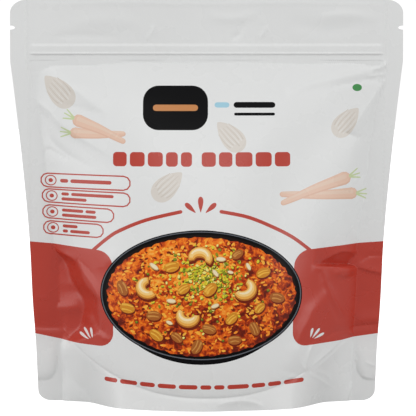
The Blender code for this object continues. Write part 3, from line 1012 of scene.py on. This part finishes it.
def food_material():
    """Printed grated carrot: shreds from light orange to deep red, darker low in the bowl."""
    material = satin("food", COLOURS["food"], INK_SPREAD, PICTURE_GLOSS)
    tree = material.node_tree
    place = tree.nodes["Texture Coordinate"].outputs["Object"]
    mixed = 0.0
    for scale, detail, weight in ((430.0, 4.0, 0.62), (115.0, 2.0, 0.38)):
        shreds = noise(tree, place, scale, detail, Roughness=0.6, Distortion=0.5)
        part = add_node(tree, "Math", {0: shreds, 1: weight, 2: mixed}, operation="MULTIPLY_ADD")
        mixed = part.outputs["Value"]
    centre, near, far, deepest = FOOD_SHADE
    flat = add_node(tree, "VectorMath", {0: place, 1: (1.0, 0.0, FOOD_ROUND)}, operation="MULTIPLY")
    middle = (centre[0], 0.0, centre[1] * FOOD_ROUND)
    away = add_node(tree, "VectorMath", {0: flat.outputs["Vector"], 1: middle}, operation="DISTANCE")
    shade = add_node(tree, "MapRange", {"Value": away.outputs["Value"], "From Min": near,
                                        "From Max": far, "To Min": 0.0, "To Max": deepest})
    shaded = add_node(tree, "Math", {0: mixed, 1: shade.outputs["Result"]}, operation="SUBTRACT")
    tones = add_node(tree, "ValToRGB", {"Fac": shaded.outputs["Value"]})
    stops = tones.color_ramp.elements
    for i, (position, colour) in enumerate(FOOD_TONES):
        stop = stops[i] if i < 2 else stops.new(position)
        stop.position = position
        stop.color = (*colour, 1.0)
    fill(tree, tree.nodes["Principled BSDF"], {"Base Color": tones.outputs["Color"]})
    return material


def gloss_of(name):
    """How much an ink shines: the blacks least, the pictured food little."""
    if name in BLACKS:
        return BLACK_GLOSS
    return PICTURE_GLOSS if name.startswith(PICTURE) else INK_GLOSS


def make_materials():
    """One material for each colour, kept by name."""
    made = {}
    for name, colour in COLOURS.items():
        if name == "food":
            made[name] = food_material()
        elif name == "film":
            made[name] = satin(name, colour, FILM_SPREAD, FILM_GLOSS)
        else:
            made[name] = satin(name, colour, INK_SPREAD, gloss_of(name))
    return made


# Webs

def beside(paths, offsets):
    """Points along each path, and beside it at each offset."""
    points = []
    for path in paths:
        for a, b in zip(path, path[1:]):
            length = math.dist(a, b)
            steps = max(round(length / GUIDE_STEP), 1)
            way = ((b[0] - a[0]) / max(length, 1e-9), (b[1] - a[1]) / max(length, 1e-9))
            for i in range(steps):
                x, z = (a[0] + (b[0] - a[0]) * i / steps, a[1] + (b[1] - a[1]) * i / steps)
                points += [(x - way[1] * offset, z + way[0] * offset) for offset in offsets]
    return points


def guide_points(side):
    """Points along the seams and the sharp creases, where the film turns quickly."""
    seal = [(float(side_seam(z)), float(z)) for z in np.arange(0.0, BELLY_TOP, 4.0)]
    foot = [(float(x), float(foot_seam(x))) for x in np.arange(-SEAM_END_X, SEAM_END_X + 2.0, 2.0)]
    seams = [seal, mirrored(seal), foot]
    creases = [[(side * end, z) for z, end, _ in smooth_path(CRUSH)],
               [(-side * end, z) for z, end, _ in smooth_path(FACET)], *pocket_edges()]
    creases += [smooth_path(path) for path, _, _, sharp in SHEET_FOLDS + folds_of(side)
                if sharp < SHARP_ENOUGH]
    return np.array(beside(seams, SEAM_OFFSETS) + beside(creases, CREASE_OFFSETS))


def inner_points():
    """Points of the hidden inner face, closer where both webs are bent together."""
    paths = [smooth_path(path) for path, _, _, _ in SHEET_FOLDS]
    rows = rows_of_points(np.arange(INNER_GRID, HEIGHT, INNER_GRID), INNER_GRID)
    return np.concatenate([rows, on_web(np.array(beside([*paths, *pocket_edges()], SHEET_OFFSETS)))])


def on_web(points):
    """The points that lie well inside the web's edge and clear of its notches."""
    x, z = np.abs(points[:, 0]), points[:, 1]
    low = corner_drop(x, FOOT_WIDTH / 2, FOOT_CORNER)
    high = HEIGHT - corner_drop(x, TOP_WIDTH / 2, TOP_CORNER)
    notch = ((x - TOP_WIDTH / 2) / (NOTCH_DEPTH + CLEAR_OF_RIM)) ** 2
    notch += ((z - NOTCH_AT) / (NOTCH_HALF_HEIGHT + CLEAR_OF_RIM)) ** 2
    inside = (x < half_width(z) - CLEAR_OF_SIDE) & (z > low + CLEAR_OF_RIM) & (z < high - CLEAR_OF_RIM)
    return points[inside & (notch > 1.0)]


def rows_of_points(rows, step):
    """Rows of staggered points across the film."""
    points = []
    for i, z in enumerate(rows):
        shift = step / 2 if i % 2 else 0.0
        points += [(float(x), float(z)) for x in np.arange(shift - ROW_REACH, ROW_REACH, step)]
    return on_web(np.array(points))


def grid_points(side):
    """Points inside the web: an even grid, closer rows on the strip, and the guides."""
    start, end, fine = FINE_ROWS
    rows = list(np.arange(GRID * 0.7, start, GRID))
    rows += list(np.arange(start, end, fine))
    rows += list(np.arange(end, HEIGHT, GRID))
    grid = rows_of_points(rows, GRID)
    guides = on_web(guide_points(side))
    tree = KDTree(len(guides))
    for i, (x, z) in enumerate(guides.tolist()):
        tree.insert((x, z, 0.0), i)
    tree.balance()
    clear = [tree.find((x, z, 0.0))[2] > CLEAR_OF_GUIDE for x, z in grid.tolist()]
    return np.concatenate([grid[np.array(clear)], guides])


def inside_outline(x, z, outline):
    """Which of the points lie inside a closed outline."""
    inside = np.zeros(len(x), dtype=bool)
    for (ax, az), (bx, bz) in zip(outline, outline[1:] + outline[:1]):
        if az == bz:
            continue
        crosses = (az > z) != (bz > z)
        inside ^= crosses & (x < (bx - ax) * (z - az) / (bz - az) + ax)
    return inside


def flat_mesh(outline, shapes, points_inside):
    """Triangles of the flat web, cut along every printed outline, and their colours."""
    verts = [Vector(p) for p in outline]
    edges = []
    for _, shape in shapes:
        first = len(verts)
        verts += [Vector(p) for p in dense(shape, GRID)]
        count = len(verts) - first
        edges += [(first + i, first + (i + 1) % count) for i in range(count)]
    verts += [Vector(p) for p in points_inside.tolist()]
    cut = delaunay_2d_cdt(verts, edges, [list(range(len(outline)))], 1, 1e-4, False)
    points = np.array([tuple(v) for v in cut[0]])
    triangles = np.array([tuple(f) for f in cut[2]])
    x, z = points[triangles].mean(axis=1).T
    keep = inside_outline(x, z, outline)
    triangles, x, z = triangles[keep], x[keep], z[keep]
    colour = np.zeros(len(triangles), dtype=int)
    names = ["film"]
    for name, shape in shapes:
        if name not in names:
            names.append(name)
        near = np.flatnonzero(in_box(x, z, shape))
        colour[near[inside_outline(x[near], z[near], shape)]] = names.index(name)
    used, new = np.unique(triangles, return_inverse=True)
    return points[used], new.reshape(triangles.shape), colour, names


def rim_of(triangles):
    """The web's rim as a closed ring of vertex numbers, in the triangles' direction."""
    edges = np.concatenate([triangles[:, [0, 1]], triangles[:, [1, 2]], triangles[:, [2, 0]]])
    key = np.sort(edges, axis=1)
    _, index, count = np.unique(key, axis=0, return_index=True, return_counts=True)
    following = dict(edges[index[count == 1]].tolist())
    start = next(iter(following))
    ring = [start]
    while following[ring[-1]] != start:
        ring.append(following[ring[-1]])
    return ring


def turned(points, triangles, sign):
    """The triangles, all wound the way that the sign says."""
    a, b, c = (points[triangles[:, i]] for i in range(3))
    turn = (b[:, 0] - a[:, 0]) * (c[:, 1] - a[:, 1]) - (b[:, 1] - a[:, 1]) * (c[:, 0] - a[:, 0])
    wrong = turn * sign < 0.0
    triangles = triangles.copy()
    triangles[wrong] = triangles[wrong][:, ::-1]
    return triangles


def inner_depth(x, z, side):
    """Depth of the web's inner face, which stays behind every fold of the outer one."""
    lowest = np.full_like(x, 1e9)
    for near_x in (x - INNER_GRID, x, x + INNER_GRID):
        for near_z in (z - INNER_GRID, z, z + INNER_GRID):
            depth = side * (film_y(near_x, near_z, side) - wave(near_x, near_z))
            lowest = np.minimum(lowest, depth)
    return np.maximum(lowest - WEB, LEAST_INNER)


def web_piece(name, side, shapes, materials):
    """A web of film with real thickness: outer face, inner face and cut edge."""
    points, triangles, colour, names = flat_mesh(film_outline(), shapes, grid_points(side))
    triangles = turned(points, triangles, -side)
    ring = rim_of(triangles)
    inside, inner_triangles, _, _ = flat_mesh(points[ring].tolist(), [], inner_points())
    inner_triangles = turned(inside, inner_triangles, side)
    inner_ring = rim_of(inner_triangles[:, ::-1])
    first = int(np.argmin(np.hypot(*(inside[inner_ring] - points[ring[0]]).T)))
    inner_ring = inner_ring[first:] + inner_ring[:first]
    x, z = points.T
    outer = np.stack([x, film_y(x, z, side), z], 1)
    shown = film_normals(x, z, side)[triangles].reshape(-1, 3)
    x, z = inside.T
    inner = np.stack([x, wave(x, z) + side * inner_depth(x, z, side), z], 1)
    count = len(outer)
    verts = np.concatenate([outer, inner]) * MM
    rim = np.array([(ring[i - 1], ring[i], inner_ring[i] + count, inner_ring[i - 1] + count)
                    for i in range(len(ring))])
    hidden_faces = np.concatenate([inner_triangles + count, rim[:, [1, 0, 3]], rim[:, [1, 3, 2]]])
    faces = np.concatenate([triangles, hidden_faces])
    mesh = bpy.data.meshes.new(name)
    mesh.from_pydata(verts.tolist(), [], faces.tolist())
    mesh.shade_smooth()
    hidden = np.repeat(face_normals(verts, hidden_faces), 3, axis=0)
    mesh.normals_split_custom_set(np.concatenate([shown, hidden]).tolist())
    slots = np.concatenate([colour, np.zeros(len(hidden_faces), dtype=int)])
    mesh.polygons.foreach_set("material_index", slots.astype(np.int32))
    for colour_name in names:
        mesh.materials.append(materials[colour_name])
    bake_map(mesh, verts, faces, len(triangles))
    return add_object(name, mesh)


def face_normals(verts, faces):
    """Unit normals of triangles."""
    a, b, c = (verts[faces[:, i]] for i in range(3))
    normals = np.cross(b - a, c - a)
    return normals / np.maximum(np.linalg.norm(normals, axis=1), 1e-12)[:, None]


def bake_map(mesh, verts, faces, outer_count):
    """A flat map of the web: the outer face fills it, the rest is a thin strip beside."""
    layer = mesh.uv_layers.new(name="OFBake")
    corners = faces.reshape(-1)
    u = MAP_MARGIN + MAP_WIDE * (verts[corners, 0] / MM + TOP_WIDTH / 2) / TOP_WIDTH
    v = MAP_MARGIN + MAP_HIGH * verts[corners, 2] / MM / HEIGHT
    u[outer_count * 3:] = MAP_STRIP[0] + MAP_STRIP[1] * u[outer_count * 3:]
    layer.data.foreach_set("uv", np.stack([u, v], 1).astype(np.float32).reshape(-1))


def gusset_ring(x):
    """Cross-section of the gusset web at x: skirt, panel and skirt, as a closed ring."""
    rim = float(corner_drop(x, FOOT_WIDTH / 2, FOOT_CORNER))
    top = float(foot_seam(x))
    heights = np.linspace(rim + SKIRT_LIFT, top, GUSSET_STEPS)
    line = np.full(GUSSET_STEPS, x)
    outer, inner = [], []
    for side in (-1.0, 1.0):
        face = np.abs(film_y(line, heights, side) - wave(line, heights))
        hidden = side * np.maximum(face - WEB * 1.5, 0.3 * face)
        shown = side * face * face / (face + SKIRT)
        outer.append(list(zip(hidden, heights)))
        inner.append(list(zip(shown, heights)))
        heights = heights[::-1]
    span_front = -inner[0][-1][0]
    span_back = inner[1][0][0]
    under, over = [], []
    for share in np.linspace(-1.0, 1.0, 25)[1:-1]:
        span = span_front if share < 0 else span_back
        height = max(top - GUSSET_HANG * span * (1.0 - share * share), 0.0)
        under.append((share * span, height))
        over.append((share * span, height + WEB))
    ring = outer[0] + over + outer[1] + inner[1][::-1] + under[::-1] + inner[0][::-1]
    return [(x * MM, y * MM, z * MM) for y, z in ring]


def gusset_piece(material):
    """The gusset web: a loft of its cross-sections from side to side."""
    reach = float(side_seam(0.0)) - GUSSET_INSET
    rings = [gusset_ring(x) for x in np.linspace(-reach, reach, GUSSET_SLICES)]
    size = len(rings[0])
    verts = [point for ring in rings for point in ring]
    faces = []
    for first in range(0, len(verts) - size, size):
        for j in range(size):
            a = first + j
            b = first + (j + 1) % size
            faces.append((a, b, b + size, a + size))
    faces.append(tuple(range(size))[::-1])
    faces.append(tuple(range(len(verts) - size, len(verts))))
    mesh = bpy.data.meshes.new("gusset_web")
    mesh.from_pydata(verts, [], faces)
    mesh.validate()
    mesh.shade_smooth()
    mesh.set_sharp_from_angle(angle=math.radians(55.0))
    mesh.materials.append(material)
    return add_object("gusset_web", mesh)


# Stage, light and camera

FLOOR_COLOUR = (0.54, 0.54, 0.54, 1.0)
FLOOR_GAP = 0.0002
FLOOR_RADIUS = 6.0
WHITE = (1.0, 1.0, 1.0, 1.0)
WORLD_LIGHT = 0.685
WORLD_SEEN = 1.05
# Soft lights, all dim beside the surround: name, place, size and power
LIGHTS = (("left", (-1.15, -0.33, 0.30), (0.85, 0.7), 3.1),
          ("right", (0.98, -0.69, 0.28), (0.45, 0.7), 2.1),
          ("key", (0.0, -1.15, 0.90), (1.0, 0.6), 3.0),
          ("back", (0.0, 1.10, 1.00), (1.2, 0.6), 4.0))
LIGHT_AIM = (0.0, 0.0, 0.08)
SENSOR = 36.0
CAMERA_DISTANCE = 1.0
CAMERA_HEIGHT_ANGLE = 3.0
CAMERA_AIM = (0.0006, 0.0, 0.0815)
MM_PER_PIXEL = 0.4212
FRAME_PIXELS = 416


def floor_material():
    """Plain floor that looks white and throws little light up at the pouch."""
    material = bpy.data.materials.new("floor")
    material.use_nodes = True
    tree = material.node_tree
    seen = add_node(tree, "LightPath", {}).outputs["Is Camera Ray"]
    fill(tree, tree.nodes["Principled BSDF"], {
        "Base Color": FLOOR_COLOUR, "Roughness": 0.9, "Specular IOR Level": 0.0,
        "Emission Color": WHITE, "Emission Strength": seen})
    return material


def add_floor():
    """A wide round floor."""
    bpy.ops.mesh.primitive_circle_add(vertices=96, radius=FLOOR_RADIUS, fill_type="NGON",
                                      location=(0.0, 0.0, -FLOOR_GAP))
    floor = bpy.context.object
    floor.name = "floor"
    floor.data.materials.append(floor_material())


def add_world():
    """An even white surround, brighter where the camera sees it."""
    world = bpy.data.worlds.new("studio")
    bpy.context.scene.world = world
    world.use_nodes = True
    tree = world.node_tree
    light = fill(tree, tree.nodes["Background"], {"Color": WHITE, "Strength": WORLD_LIGHT})
    seen = add_node(tree, "Background", {"Color": WHITE, "Strength": WORLD_SEEN})
    path = add_node(tree, "LightPath", {})
    mix = add_node(tree, "MixShader", {"Fac": path.outputs["Is Camera Ray"],
                                       1: light.outputs["Background"], 2: seen.outputs["Background"]})
    fill(tree, tree.nodes["World Output"], {"Surface": mix.outputs["Shader"]})


def add_object(name, data):
    """A new object in the scene."""
    made = bpy.data.objects.new(name, data)
    bpy.context.scene.collection.objects.link(made)
    return made


def soft_box(name, place, size, power):
    """A rectangular soft light at place, aimed at the middle of the pouch."""
    data = bpy.data.lights.new(name, "AREA")
    data.shape = "RECTANGLE"
    data.size, data.size_y = size
    data.energy = power
    lamp = add_object(name, data)
    lamp.location = place
    lamp.rotation_euler = (Vector(LIGHT_AIM) - Vector(place)).to_track_quat("-Z", "Y").to_euler()


def add_camera():
    """The photograph's view: nearly level, from straight in front."""
    angle = math.radians(CAMERA_HEIGHT_ANGLE)
    back = Vector((0.0, -math.cos(angle), math.sin(angle)))
    data = bpy.data.cameras.new("camera")
    data.sensor_width = SENSOR
    data.lens = SENSOR * CAMERA_DISTANCE / (MM_PER_PIXEL * MM * FRAME_PIXELS)
    data.clip_end = 50.0
    camera = add_object("camera", data)
    camera.location = Vector(CAMERA_AIM) + back * CAMERA_DISTANCE
    camera.rotation_euler = (-back).to_track_quat("-Z", "Y").to_euler()
    bpy.context.scene.camera = camera


def build():
    """Dress the pouch, then add the stage, the lights and the camera."""
    materials = make_materials()
    front = web_piece("front_web", -1.0, list(front_print()), materials)
    back = web_piece("back_web", 1.0, list(back_print()), materials)
    gusset = gusset_piece(materials["film"])
    for piece in (front, back, gusset):
        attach(piece, "root")
        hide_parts("pouch")
    add_floor()
    add_world()
    for light in LIGHTS:
        soft_box(*light)
    add_camera()
    view = bpy.context.scene.view_settings
    view.view_transform = "Standard"
    view.look = "None"


build()
